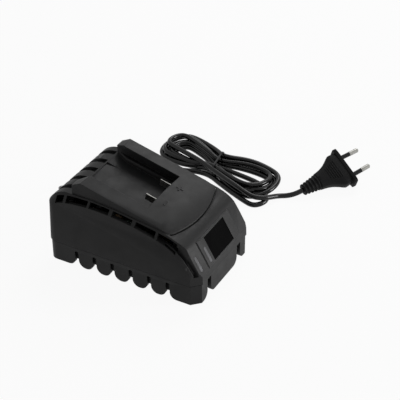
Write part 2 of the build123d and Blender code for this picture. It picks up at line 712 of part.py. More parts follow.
# Contacts: two blades in an insulating block behind the pocket's end wall
grip_y, tail_z = pocket_end_y + blade_step, block_low - blade_tail_drop
tail_back, tail_front = block_front_y - blade_tail[0], block_front_y - blade_tail[1]
blade_outline = [(pocket_end_y + blade_tip[0], blade_z + blade_rise[0]), (grip_y, blade_z + blade_rise[1]),
                 (grip_y, blade_z + blade_depth), (tail_back, blade_z + blade_depth), (tail_back, tail_z),
                 (tail_front, tail_z), (tail_front, blade_z), (pocket_end_y + blade_heel, blade_z),
                 (pocket_end_y + blade_heel, blade_z + blade_rise[3]),
                 (pocket_end_y + blade_tip[1], blade_z + blade_rise[2])]


def blade(x):
    """One contact blade standing on edge, with its solder tail."""
    with BuildPart() as plate:
        with BuildSketch(Plane.YZ.offset(x)):
            Polygon(*blade_outline, align=None)
        extrude(amount=blade_t / 2, both=True)
    return plate.part


with BuildPart() as contact_blade_negative:
    add(blade(-contact_x))
save(contact_blade_negative, "contact_blade_negative")

with BuildPart() as contact_blade_positive:
    add(blade(contact_x))
save(contact_blade_positive, "contact_blade_positive")

with BuildPart() as contact_block:
    box((-block_half, block_half), (block_front_y, pocket_end_y - wall), (block_low, block_high))
    box((-ear_x, ear_x), (block_front_y, block_front_y + ear_t), (block_low, block_high))
    for sign in (-1, 1):
        box(around(sign * contact_x, blade_t + 2 * fit), (block_front_y, pocket_end_y),
            (blade_z - fit, blade_z + blade_depth + fit), Mode.SUBTRACT)
        lying(sign * contact_boss_x, (block_low + block_high) / 2, (block_front_y, block_front_y + ear_t),
              contact_screw_r + fit, Mode.SUBTRACT)
save(contact_block, "contact_block")

with BuildPart() as contact_block_screws:
    for sign in (-1, 1):
        add(screw((sign * contact_boss_x, block_front_y, (block_low + block_high) / 2), (0, 1, 0),
                  contact_screw_r, block_depth - 0.5, contact_head_r, small_head_t))
save(contact_block_screws, "contact_block_screws")

# Circuit board and its screws
with BuildPart() as circuit_board:
    box((-board_x, board_x), (board_y0, board_y1), (board_z, board_top))
    for x in (-post_x, post_x):
        for y in post_y:
            standing(x, y, (board_z, board_top), small_screw_r + fit, Mode.SUBTRACT)
save(circuit_board, "circuit_board")

with BuildPart() as board_screws:
    for x in (-post_x, post_x):
        for y in post_y:
            add(screw((x, y, board_top), (0, 0, -1), small_screw_r, board_z - floor_top - 1, small_head_r,
                      small_head_t))
save(board_screws, "board_screws")

# Transformer: a core with two windows and a winding around its middle leg
core_top = board_top + core_size[2]
window_z = (board_top + core_yoke, core_top - core_yoke)
with BuildPart() as transformer_core:
    box(around(core_at[0], core_size[0]), around(core_at[1], core_size[1]), (board_top, core_top))
    for sign in (-1, 1):
        x = core_at[0] + sign * (core_leg + core_window) / 2
        box(around(x, core_window), around(core_at[1], core_size[1]), window_z, Mode.SUBTRACT)
save(transformer_core, "transformer_core")

with BuildPart() as transformer_winding:
    winding_x = core_leg + 2 * core_window - 4 * side_fit
    box(around(core_at[0], winding_x), around(core_at[1], winding_depth), (window_z[0], window_z[1] - side_fit))
    fillet(transformer_winding.edges().filter_by(Axis.Z), winding_round)
    box(around(core_at[0], core_leg + 2 * side_fit), around(core_at[1], core_size[1] + 2 * side_fit), window_z,
        Mode.SUBTRACT)
save(transformer_winding, "transformer_winding")

# Capacitors: cans with a rolled groove, and a moulded box


def can(x, y, r, height):
    """An electrolytic capacitor standing on the board, with a groove near its foot."""
    with BuildPart() as body:
        standing(x, y, (board_top, board_top + height), r)
        fillet(body.edges().group_by(Axis.Z)[-1], r * 0.1)
        with BuildSketch(Plane(origin=(x, y, 0), x_dir=(1, 0, 0), z_dir=(0, -1, 0))):
            with Locations((r, board_top + groove_height)):
                Circle(r * groove_part)
        revolve(axis=Axis((x, y, 0), (0, 0, 1)), mode=Mode.SUBTRACT)
    return body.part


with BuildPart() as bulk_capacitor:
    add(can(*bulk_at, bulk_r, bulk_height))
save(bulk_capacitor, "bulk_capacitor")

with BuildPart() as output_capacitors:
    for place in output_at:
        add(can(*place, output_r, output_height))
save(output_capacitors, "output_capacitors")

with BuildPart() as suppression_capacitor:
    box(around(box_capacitor_at[0], box_capacitor[0]), around(box_capacitor_at[1], box_capacitor[1]),
        (board_top, board_top + box_capacitor[2]))
    chamfer(suppression_capacitor.faces().sort_by(Axis.Z)[-1].edges(), box_chamfer)
save(suppression_capacitor, "suppression_capacitor")

# Choke: an upright ring with a coil on each side
choke_z = board_top + choke_r
choke_plane = Plane(origin=(choke_at[0], choke_at[1], choke_z), x_dir=(1, 0, 0), z_dir=(0, -1, 0))
with BuildPart() as choke_core:
    with BuildSketch(choke_plane.offset(-choke_t / 2)):
        Circle(choke_r)
        Circle(choke_hole_r, mode=Mode.SUBTRACT)
    extrude(amount=choke_t)
save(choke_core, "choke_core")

with BuildPart() as choke_windings:
    with BuildSketch(choke_plane.offset(-choke_t / 2 - coil_t)):
        Circle(choke_r + coil_t)
        Circle(choke_hole_r - coil_t, mode=Mode.SUBTRACT)
        Rectangle(coil_gap, 4 * choke_r, mode=Mode.SUBTRACT)
    extrude(amount=choke_t + 2 * coil_t)
    with BuildSketch(choke_plane.offset(-choke_t / 2)):
        Circle(choke_r + fit)
        Circle(choke_hole_r - fit, mode=Mode.SUBTRACT)
    extrude(amount=choke_t, mode=Mode.SUBTRACT)
save(choke_windings, "choke_windings")

# Fuse in two clips
fuse_z = board_top + fuse_lift
with BuildPart() as mains_fuse:
    with BuildSketch(Plane.YZ.offset(fuse_at[0] - fuse_length / 2)):
        with Locations((fuse_at[1], fuse_z)):
            Circle(fuse_r)
    extrude(amount=fuse_length)
    fillet(mains_fuse.edges().filter_by(GeomType.CIRCLE), fuse_cap_round)
save(mains_fuse, "mains_fuse")

with BuildPart() as fuse_clips:
    for sign in (-1, 1):
        x = fuse_at[0] + sign * (fuse_length - clip_width) / 2
        box(around(x, clip_width), around(fuse_at[1], clip_depth), (board_top, board_top + clip_height))
    with BuildSketch(Plane.YZ.offset(fuse_at[0] - fuse_length / 2)):
        with Locations((fuse_at[1], fuse_z)):
            Circle(fuse_r + fit)
        with Locations((fuse_at[1], fuse_z + fuse_r)):
            Rectangle(2 * fuse_r - clip_grip, 2 * fuse_r)
    extrude(amount=fuse_length, mode=Mode.SUBTRACT)
save(fuse_clips, "fuse_clips")

# Bridge rectifier: a moulded slab on four legs
with BuildPart() as bridge_rectifier:
    low = board_top + bridge_lift
    box(around(bridge_at[0], bridge_size[0]), around(bridge_at[1], bridge_size[1]), (low, low + bridge_size[2]))
    chamfer(bridge_rectifier.faces().sort_by(Axis.Z)[-1].edges().sort_by(Axis.X)[-1], bridge_chamfer)
    for n in range(4):
        x = bridge_at[0] + (n - 1.5) * bridge_size[0] / 4
        box(around(x, bridge_leg[0]), around(bridge_at[1], bridge_leg[1]), (board_top, low))
save(bridge_rectifier, "bridge_rectifier")

# Heat sinks: an upright plate with fins on one side


def heat_sink_part(x, y0, run, top_z, fin_side):
    """A plate one face of which stands at x, with its fins on the -X or +X side."""
    with BuildPart() as sink:
        box(sorted((x, x - fin_side * sink_t)), (y0, y0 + run), (board_top, top_z))
        for n in range(int((run - fin_t) / fin_pitch) + 1):
            y = y0 + n * fin_pitch
            box(sorted((x, x + fin_side * fin_depth)), (y, y + fin_t), (board_top, top_z))
    return sink.part


def power_package(x, y, side, hole=True):
    """A tabbed power device whose tab lies on a heat sink face at x and that looks to that side."""
    low = board_top + package_lift
    high = low + package_size[2]
    with BuildPart() as device:
        box(sorted((x, x + side * package_size[0])), around(y, package_size[1]), (low, high))
        box(sorted((x, x + side * tab_t)), around(y, package_size[1]), (high, high + tab_rise))
        for n in (-1, 0, 1):
            mid = x + side * package_size[0] / 2
            box(around(mid, package_leg[0]), around(y + n * chip_pitch, package_leg[1]), (board_top, low))
        with BuildSketch(Plane(origin=(x, y, high + tab_rise / 2), z_dir=(side, 0, 0))):
            Circle(small_screw_r + side_fit)
        extrude(amount=side * package_size[0] if side > 0 else package_size[0], mode=Mode.SUBTRACT)
    return device.part


device_y = (sink_y + 15.0, diode_sink_y + 7.0)
device_z = board_top + package_lift + package_size[2] + tab_rise / 2
with BuildPart() as heat_sink:
    add(heat_sink_part(sink_x, sink_y, sink_length, sink_top_z, -1))
    with BuildSketch(Plane(origin=(sink_x, device_y[0], device_z), z_dir=(1, 0, 0))):
        Circle(small_screw_r + fit)
    extrude(amount=sink_t, mode=Mode.SUBTRACT)
save(heat_sink, "heat_sink")

with BuildPart() as diode_heat_sink:
    add(heat_sink_part(diode_sink_x, diode_sink_y, diode_sink_length, diode_sink_top, 1))
    with BuildSketch(Plane(origin=(diode_sink_x, device_y[1], device_z), z_dir=(-1, 0, 0))):
        Circle(small_screw_r + fit)
    extrude(amount=sink_t, mode=Mode.SUBTRACT)
save(diode_heat_sink, "diode_heat_sink")

with BuildPart() as switching_transistor:
    add(power_package(sink_x + sink_t, device_y[0], 1))
save(switching_transistor, "switching_transistor")

with BuildPart() as output_diode:
    add(power_package(diode_sink_x - sink_t, device_y[1], -1))
save(output_diode, "output_diode")

with BuildPart() as device_screws:
    for x, y, side in ((sink_x + sink_t + tab_t, device_y[0], 1),
                       (diode_sink_x - sink_t - tab_t, device_y[1], -1)):
        add(screw((x, y, device_z), (-side, 0, 0), small_screw_r, sink_t + tab_t, small_head_r, small_head_t))
save(device_screws, "device_screws")

# Chips on two rows of legs


def chip(x, y, size, legs):
    """A dual in-line chip with its legs on the board."""
    low = board_top + chip_lift
    with BuildPart() as body:
        box(around(x, size[0]), around(y, size[1]), (low, low + size[2]))
        for n in range(legs):
            leg_x = x + (n - (legs - 1) / 2) * chip_pitch
            for side in (-1, 1):
                edge = y + side * size[1] / 2
                box(around(leg_x, chip_leg[0]), sorted((edge, edge + side * chip_leg[1])),
                    (board_top, low + size[2] / 2))
    return body.part


with BuildPart() as control_chip:
    add(chip(*chip_at, chip_size, 4))
save(control_chip, "control_chip")

with BuildPart() as optocoupler:
    add(chip(*opto_at, opto_size, 2))
save(optocoupler, "optocoupler")

# Wires from the board to the blades' tails
with BuildPart() as output_wires:
    tail_y = (tail_back + tail_front) / 2
    for sign in (-1, 1):
        x = sign * contact_x
        route = [(x, output_wire_y, board_top), (x, output_wire_y, tail_z - 2.5 * output_wire_bend),
                 (x, tail_y, tail_z - 2 * output_wire_bend), (x, tail_y, tail_z)]
        add(tube(route, output_wire_r, output_wire_bend))
save(output_wires, "output_wires")

# Mains terminal, wires, inlet cord, clamp and grommet
with BuildPart() as mains_terminal:
    box(around(terminal_at[0], terminal_size[0]), around(terminal_at[1], terminal_size[1]),
        (board_top, board_top + terminal_size[2]))
    for sign in (-1, 1):
        standing(terminal_at[0] + sign * terminal_size[0] / 4, terminal_at[1],
                 (board_top + terminal_size[2] - terminal_well_depth, board_top + terminal_size[2]), terminal_well_r,
                 Mode.SUBTRACT)
save(mains_terminal, "mains_terminal")

with BuildPart() as mains_wires:
    for sign in (-1, 1):
        face_y = terminal_at[1] + terminal_size[1] / 2
        wire_x, well_x = cord_x + sign * mains_wire_half, terminal_at[0] + sign * terminal_size[0] / 4
        run_in = 2 * mains_wire_half
        route = [(wire_x, cord_end_y, cord_z), (wire_x, cord_end_y - run_in, cord_z),
                 (well_x, face_y + run_in, cord_z + mains_wire_lift), (well_x, face_y, cord_z + mains_wire_lift)]
        add(tube(route, mains_wire_r, mains_wire_half))
save(mains_wires, "mains_wires")

with BuildPart() as mains_cord_inlet:
    lying(cord_x, cord_z, (cord_end_y, boot_end_y), cord_r)
save(mains_cord_inlet, "mains_cord_inlet")

with BuildPart() as cord_clamp:
    bar_low = cord_z + side_fit * 2
    box(around(cord_x, 2 * clamp_half), around(clamp_y, clamp_depth), (bar_low, bar_low + clamp_bar_t))
    lying(cord_x, cord_z, around(clamp_y, clamp_depth), cord_r, Mode.SUBTRACT)
    for sign in (-1, 1):
        standing(cord_x + sign * clamp_screw_offset, clamp_y, (bar_low, bar_low + clamp_bar_t),
                 small_screw_r + side_fit, Mode.SUBTRACT)
save(cord_clamp, "cord_clamp")

with BuildPart() as clamp_screws:
    for sign in (-1, 1):
        add(screw((cord_x + sign * clamp_screw_offset, clamp_y, bar_low + clamp_bar_t), (0, 0, -1), small_screw_r,
                  clamp_bar_t + clamp_screw_bite, small_head_r, small_head_t))
save(clamp_screws, "clamp_screws")

with BuildPart() as cord_grommet:
    wall_back_y = rear_y - inner_step
    lying(cord_x, cord_z, (wall_back_y, rear_y), neck_r)
    lying(cord_x, cord_z, (wall_back_y - flange_t, wall_back_y), grommet_r - fit)
    lying(cord_x, cord_z, (rear_y, rear_y + flange_t), grommet_r - fit)
    with Locations(Location((cord_x, rear_y + flange_t + boot_length / 2, cord_z), (-90, 0, 0))):
        Cone(neck_r, boot_tip_r, boot_length)
    for n in range(boot_rings):
        y = rear_y + flange_t + (n + 1) * boot_length / (boot_rings + 1)
        lying(cord_x, cord_z, around(y, boot_ring_width), neck_r + boot_ring_rise)
    lying(cord_x, cord_z, (wall_back_y - flange_t, boot_end_y), cord_r + fit / 5, Mode.SUBTRACT)
save(cord_grommet, "cord_grommet")

# Free cord, hank and tie
with BuildPart() as mains_cord_lead:
    add(tube(lead_points, cord_r, bend_radii(lead_points)))
save(mains_cord_lead, "mains_cord_lead")

with BuildPart() as mains_cord_tail:
    add(tube(tail_points, cord_r, bend_radii(tail_points)))
save(mains_cord_tail, "mains_cord_tail")


def stub(end, inner):
    """A short block that carries a cord's round end face, drawn back into the hank."""
    way = Vector(*end) - Vector(*inner)
    with BuildPart() as block:
        with BuildSketch(Plane(origin=end, x_dir=Vector(0, 0, 1), z_dir=way)):
            Rectangle(2 * cord_r, 2 * cord_r)
        extrude(amount=stub_length)
    return block.part


tie_low, tie_high = tie_lift, hank_height + tie_t + side_fit
with BuildPart() as hank_waist:
    with BuildSketch(Plane(origin=(0, tie_y, 0), x_dir=(1, 0, 0), z_dir=(0, -1, 0))):
        with Locations((sum(tie_x) / 2, (tie_low + tie_high) / 2)):
            RectangleRounded(tie_x[1] - tie_x[0] - 2 * tie_t - 2 * side_fit,
                             tie_high - tie_low - 2 * tie_t - 2 * side_fit, tie_corner - tie_t)
    extrude(amount=tie_width / 2 + side_fit, both=True)

with BuildPart() as hank_groove:
    box((tie_x[0] - 2 * tie_t, tie_x[1] + 2 * tie_t), around(tie_y, tie_width + 2 * side_fit), (0, 2 * hank_height))
    add(hank_waist.part, mode=Mode.SUBTRACT)

with BuildPart() as cord_hank:
    with BuildSketch():
        with BuildLine():
            Spline(hank_outline, periodic=True)
        make_face()
    extrude(amount=hank_height)
    fillet(cord_hank.faces().sort_by(Axis.Z)[-1].edges(), hank_round)
    add(stub(lead_points[-1], lead_points[-2]))
    add(stub(tail_points[0], tail_points[1]))
    add(hank_groove.part, mode=Mode.SUBTRACT)
save(cord_hank, "cord_hank")

with BuildPart() as hank_tie:
    with BuildSketch(Plane(origin=(0, tie_y + tie_width / 2, 0), x_dir=(1, 0, 0), z_dir=(0, -1, 0))):
        with Locations((sum(tie_x) / 2, (tie_low + tie_high) / 2)):
            RectangleRounded(tie_x[1] - tie_x[0], tie_high - tie_low, tie_corner)
            RectangleRounded(tie_x[1] - tie_x[0] - 2 * tie_t, tie_high - tie_low - 2 * tie_t, tie_corner - tie_t,
                             mode=Mode.SUBTRACT)
    extrude(amount=tie_width)
save(hank_tie, "hank_tie")

# Plug: drawn on its flange, pins along the plane's own Z
yaw, pitch, roll = radians(plug_yaw), radians(plug_pitch), radians(plug_roll)
pin_way = Vector(cos(pitch) * cos(yaw), cos(pitch) * sin(yaw), sin(pitch))
level = Vector(-sin(yaw), cos(yaw), 0)
plug_across = level * cos(roll) + pin_way.cross(level) * sin(roll)
plug_plane = Plane(origin=plug_at, x_dir=plug_across, z_dir=pin_way)

with BuildPart() as plug_body:
    with BuildSketch(plug_plane.offset(-plug_flange_t)):
        RectangleRounded(plug_width, plug_depth, plug_depth * flange_round)
    extrude(amount=plug_flange_t)
    for depth, across, deep in plug_sections:
        with BuildSketch(plug_plane.offset(depth)):
            RectangleRounded(across, deep, deep * section_round)
    loft(ruled=True)
    with BuildSketch(plug_plane.offset(plug_sections[-1][0])):
        Circle(plug_tip_r + neck_step)
    with BuildSketch(plug_plane.offset(-plug_length)):
        Circle(plug_tip_r)
    loft()
    for sign in (-1, 1):
        with BuildSketch(plug_plane.offset(-pin_bury)):
            with Locations((sign * pin_pitch / 2, 0)):
                Circle(pin_r + fit)
        extrude(amount=pin_bury, mode=Mode.SUBTRACT)
save(plug_body, "plug_body")

pin_lean = degrees(atan2((pin_pitch - pin_tip_pitch) / 2, pin_length))


def pin_plane(sign, depth):
    """The plane across one pin, at a height over the flange; the pins lean together above it."""
    over = max(depth, 0.0)
    at = plug_plane.from_local_coords(Vector(sign * (pin_pitch / 2 - over * tan(radians(pin_lean))), 0, depth))
    lean = radians(pin_lean) if depth > 0 else 0.0
    return Plane(origin=at, x_dir=plug_across,
                 z_dir=pin_way * cos(lean) - plug_across * sign * sin(lean))


with BuildPart() as plug_pins:
    for sign in (-1, 1):
        with BuildSketch(pin_plane(sign, -pin_bury)):
            Circle(pin_r)
        extrude(amount=pin_bury)
        with BuildSketch(pin_plane(sign, 0)):
            Circle(pin_r - sleeve_t)
        with BuildSketch(pin_plane(sign, sleeve_length)):
            Circle(pin_r - sleeve_t)
        loft()
        with BuildSketch(pin_plane(sign, sleeve_length)):
            Circle(pin_r)
        with BuildSketch(pin_plane(sign, pin_length - pin_r / 2)):
            Circle(pin_r)
        with BuildSketch(pin_plane(sign, pin_length)):
            Circle(pin_r / 2)
        loft(ruled=True)
save(plug_pins, "plug_pins")

with BuildPart() as pin_sleeves:
    for sign in (-1, 1):
        for r, mode in ((pin_r - sleeve_step, Mode.ADD), (pin_r - sleeve_t, Mode.SUBTRACT)):
            with BuildSketch(pin_plane(sign, 0)):
                Circle(r)
            with BuildSketch(pin_plane(sign, sleeve_length)):
                Circle(r)
            loft(mode=mode)
save(pin_sleeves, "pin_sleeves")
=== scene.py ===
import bpy
import bmesh
import json
from math import cos, pi, radians, sin
from mathutils import Matrix, Vector

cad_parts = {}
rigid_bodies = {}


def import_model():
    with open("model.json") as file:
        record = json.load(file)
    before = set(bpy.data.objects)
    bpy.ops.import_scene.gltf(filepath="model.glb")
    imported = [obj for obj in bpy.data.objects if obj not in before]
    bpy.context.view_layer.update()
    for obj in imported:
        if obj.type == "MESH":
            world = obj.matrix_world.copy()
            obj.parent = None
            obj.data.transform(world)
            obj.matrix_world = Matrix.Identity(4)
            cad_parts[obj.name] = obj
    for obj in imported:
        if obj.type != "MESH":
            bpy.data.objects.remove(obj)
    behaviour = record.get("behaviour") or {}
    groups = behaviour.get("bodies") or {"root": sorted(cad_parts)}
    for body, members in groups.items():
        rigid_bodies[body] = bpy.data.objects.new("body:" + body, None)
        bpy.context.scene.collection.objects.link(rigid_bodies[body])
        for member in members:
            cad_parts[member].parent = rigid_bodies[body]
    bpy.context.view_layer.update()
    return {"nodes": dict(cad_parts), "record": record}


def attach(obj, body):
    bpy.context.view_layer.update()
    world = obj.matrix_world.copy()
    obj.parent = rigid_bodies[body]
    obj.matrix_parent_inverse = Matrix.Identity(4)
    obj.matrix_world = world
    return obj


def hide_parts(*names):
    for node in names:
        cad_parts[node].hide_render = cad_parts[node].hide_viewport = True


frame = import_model()
scene = bpy.context.scene
mm = 0.001
print("frame loaded:", len(frame["nodes"]), "nodes")

# Camera: it stands in front and to the left of the case, looking down
cameraSetup = {"place": (-650.8, -400.2, 575.6), "lens": 108.0, "sensor": 36.0,
               "azimuth": -61.41, "elevation": 34.535, "clip": (0.01, 20.0)}


def placeCamera(setup):
    data = bpy.data.cameras.new("camera")
    data.lens = setup["lens"]
    data.sensor_width = setup["sensor"]
    data.clip_start, data.clip_end = setup["clip"]
    camera = bpy.data.objects.new("camera", data)
    scene.collection.objects.link(camera)
    camera.location = Vector(setup["place"]) * mm
    camera.rotation_euler = (radians(90 - setup["elevation"]), 0, radians(setup["azimuth"]))
    scene.camera = camera


placeCamera(cameraSetup)

# Lamps and world
scene.view_settings.view_transform = "Standard"
lamps = {
    "rightLamp": {"place": (1.25, 0.10, 1.25), "aim": (0.04, 0, 0.03), "size": 0.9, "watts": 9.0},
    "frontLamp": {"place": (0.60, -1.25, 0.35), "aim": (0.02, 0, 0.02), "size": 0.4, "watts": 10.0},
    # lies on the floor before the case and shines up at its front
    "frontCard": {"place": (-0.03, -0.26, 0.003), "aim": (-0.03, -0.26, 1.0),
                  "size": 0.24, "watts": 0.7},
}
worldSetup = {"light": 0.30, "shown": 1.0}  # what falls on the charger, and what is seen


def addLamps(setup):
    for name, one in setup.items():
        data = bpy.data.lights.new(name, "AREA")
        data.shape = "SQUARE"
        data.size = one["size"]
        data.energy = one["watts"]
        lamp = bpy.data.objects.new(name, data)
        scene.collection.objects.link(lamp)
        lamp.location = one["place"]
        lamp.visible_camera = False
        way = Vector(one["aim"]) - Vector(one["place"])
        lamp.rotation_euler = way.to_track_quat("-Z", "Y").to_euler()


def addWorld(setup):
    world = bpy.data.worlds.new("studio")
    scene.world = world
    world.use_nodes = True
    nodes, links = world.node_tree.nodes, world.node_tree.links
    nodes.clear()
    out = nodes.new("ShaderNodeOutputWorld")
    light = nodes.new("ShaderNodeBackground")
    light.inputs["Strength"].default_value = setup["light"]
    shown = nodes.new("ShaderNodeBackground")
    shown.inputs["Strength"].default_value = setup["shown"]
    mix = nodes.new("ShaderNodeMixShader")
    path = nodes.new("ShaderNodeLightPath")
    last = path.outputs["Is Camera Ray"]
    for name in ("Is Glossy Ray", "Is Transmission Ray"):
        seen = nodes.new("ShaderNodeMath")
        seen.operation = "ADD"
        seen.use_clamp = True
        links.new(last, seen.inputs[0])
        links.new(path.outputs[name], seen.inputs[1])
        last = seen.outputs[0]
    links.new(last, mix.inputs[0])
    links.new(light.outputs[0], mix.inputs[1])
    links.new(shown.outputs[0], mix.inputs[2])
    links.new(mix.outputs[0], out.inputs[0])


addLamps(lamps)
addWorld(worldSetup)
print("camera, lamps and world ready")

# Materials: every pattern reads Object coordinates, in metres
noiseSpan = (0.3, 0.7)  # the part of a noise's range that is put to use


class Maker:
    # adds nodes to one material and links them
    def __init__(self, name):
        self.material = bpy.data.materials.new(name)
        self.material.use_nodes = True
        self.tree = self.material.node_tree
        self.shader = self.tree.nodes["Principled BSDF"]
        self.coords = self.add("ShaderNodeTexCoord").outputs["Object"]

    def add(self, kind, **values):
        node = self.tree.nodes.new(kind)
        for key, value in values.items():
            if hasattr(node, key):
                setattr(node, key, value)
            else:
                node.inputs[key.replace("_", " ")].default_value = value
        return node

    def link(self, a, b):
        self.tree.links.new(a, b)

    def noise(self, scale, detail=3.0, rough=0.55, coords=None):
        node = self.add("ShaderNodeTexNoise", Scale=scale, Detail=detail, Roughness=rough)
        self.link(coords or self.coords, node.inputs["Vector"])
        return node.outputs["Fac"]

    def spread(self, value, low, high):
        node = self.add("ShaderNodeMapRange")
        self.link(value, node.inputs["Value"])
        ends = {"From Min": noiseSpan[0], "From Max": noiseSpan[1], "To Min": low, "To Max": high}
        for key, number in ends.items():
            node.inputs[key].default_value = number
        return node.outputs["Result"]

    def blend(self, factor, a, b):
        node = self.add("ShaderNodeMix", data_type="RGBA")
        for socket, value in ((node.inputs[0], factor), (node.inputs[6], a), (node.inputs[7], b)):
            if hasattr(value, "is_linked"):
                self.link(value, socket)
            else:
                socket.default_value = value
        return node.outputs[2]

    def bump(self, height, strength, distance, normal=None):
        node = self.add("ShaderNodeBump", Strength=strength, Distance=distance)
        self.link(height, node.inputs["Height"])
        if normal:
            self.link(normal, node.inputs["Normal"])
        return node.outputs["Normal"]

    def finish(self, colour=None, rough=None, normal=None, **fixed):
        for socket, value in (("Base Color", colour), ("Roughness", rough), ("Normal", normal)):
            if value is None:
                continue
            if hasattr(value, "is_linked"):
                self.link(value, self.shader.inputs[socket])
            else:
                self.shader.inputs[socket].default_value = value
        for key, value in fixed.items():
            self.shader.inputs[key.replace("_", " ")].default_value = value
        return self.material


def grey(level, cool=1.03):
    return (level, level, level * cool, 1.0)


def darker(colour, share):
    return tuple(c * share for c in colour[:3]) + (1,)


# Moulded plastic: a fine spark texture, clouds of tone, patches of wear and slow waves
casePlastic = {"dark": 0.0050, "light": 0.0075, "shine": 0.22, "rough": (0.44, 0.56),
               "grain": 2600.0, "grainDepth": 0.00004, "edge": 0.0006}
trayPlastic = dict(casePlastic, dark=0.0048, light=0.0070)
cordPlastic = {"dark": 0.0022, "light": 0.0040, "shine": 0.28, "rough": (0.15, 0.24),
               "grain": 900.0, "grainDepth": 0.00002, "edge": 0.0002}
plugPlastic = {"dark": 0.0052, "light": 0.0078, "shine": 0.11, "rough": (0.48, 0.60),
               "grain": 1800.0, "grainDepth": 0.00003, "edge": 0.0006}
plasticPattern = {"clouds": (14.0, 4.0), "patches": (90.0, 5.0),
                  "grain": (2.0, 0.7), "grainStrength": 0.35, "edgeSamples": 6,
                  "waves": (22.0, 2.0), "waveStrength": 0.06, "waveDepth": 0.0006}


def mouldedPlastic(name, setup):
    m, pattern = Maker(name), plasticPattern
    edge = m.add("ShaderNodeBevel", samples=pattern["edgeSamples"], Radius=setup["edge"])
    clouds = m.spread(m.noise(*pattern["clouds"]), 0.0, 1.0)
    colour = m.blend(clouds, grey(setup["dark"]), grey(setup["light"]))
    rough = m.spread(m.noise(*pattern["patches"]), *setup["rough"])
    grain = m.noise(setup["grain"], *pattern["grain"])
    normal = m.bump(grain, pattern["grainStrength"], setup["grainDepth"], edge.outputs["Normal"])
    waves = m.noise(*pattern["waves"])
    normal = m.bump(waves, pattern["waveStrength"], pattern["waveDepth"], normal)
    return m.finish(colour, rough, normal, Specular_IOR_Level=setup["shine"])


badgePlate = {"level": 0.0010, "smears": (60.0, 6.0), "rough": (0.16, 0.26), "shine": 0.02,
              "ripple": (300.0, 2.0), "rippleStrength": 0.03, "rippleDepth": 0.0001}


def glossyPlate(name, setup):
    m = Maker(name)
    rough = m.spread(m.noise(*setup["smears"]), *setup["rough"])
    normal = m.bump(m.noise(*setup["ripple"]), setup["rippleStrength"], setup["rippleDepth"])
    return m.finish(grey(setup["level"]), rough, normal, Specular_IOR_Level=setup["shine"])


lampWindow = {"dark": (0.10, 0.10, 0.105, 1), "light": (0.19, 0.19, 0.20, 1), "clouds": 120.0,
              "rough": 0.12, "ribs": 220.0, "ribStrength": 0.2, "ribDepth": 0.0002,
              "clear": 0.35, "bending": 1.49}


def clearLens(name, setup):
    m = Maker(name)
    ribs = m.add("ShaderNodeTexWave", Scale=setup["ribs"], bands_direction="Z")
    m.link(m.coords, ribs.inputs["Vector"])
    tint = m.blend(m.spread(m.noise(setup["clouds"]), 0.0, 1.0), setup["dark"], setup["light"])
    normal = m.bump(ribs.outputs["Fac"], setup["ribStrength"], setup["ribDepth"])
    return m.finish(tint, setup["rough"], normal,
                    Transmission_Weight=setup["clear"], IOR=setup["bending"])


metalPattern = {"stretch": (1.0, 0.08, 1.0), "lines": (4.0, 0.6), "lineStrength": 0.08,
                "lineDepth": 0.00005, "clouds": 180.0, "darker": 0.86, "roughSpan": (0.75, 1.3)}


def metal(name, colour, rough, brushed=400.0):
    m, pattern = Maker(name), metalPattern
    stretch = m.add("ShaderNodeMapping")
    stretch.inputs["Scale"].default_value = pattern["stretch"]
    m.link(m.coords, stretch.inputs["Vector"])
    lines = m.noise(brushed, *pattern["lines"], stretch.outputs[0])
    clouds = m.spread(m.noise(pattern["clouds"]), 0.0, 1.0)
    tone = m.blend(clouds, colour, darker(colour, pattern["darker"]))
    normal = m.bump(lines, pattern["lineStrength"], pattern["lineDepth"])
    low, high = (rough * share for share in pattern["roughSpan"])
    return m.finish(tone, m.spread(lines, low, high), normal, Metallic=1.0)


plainPattern = {"detail": 4.0, "darker": 0.8, "patches": 2, "roughSpan": (0.85, 1.15),
                "grain": 4, "strength": 0.15}


def plainFinish(name, colour, rough, scale=160.0, depth=0.0001, **fixed):
    m, pattern = Maker(name), plainPattern
    clouds = m.spread(m.noise(scale, pattern["detail"]), 0.0, 1.0)
    tone = m.blend(clouds, darker(colour, pattern["darker"]), colour)
    patches = m.noise(scale * pattern["patches"])
    normal = m.bump(m.noise(scale * pattern["grain"]), pattern["strength"], depth)
    low, high = (rough * share for share in pattern["roughSpan"])
    return m.finish(tone, m.spread(patches, low, high), normal, **fixed)


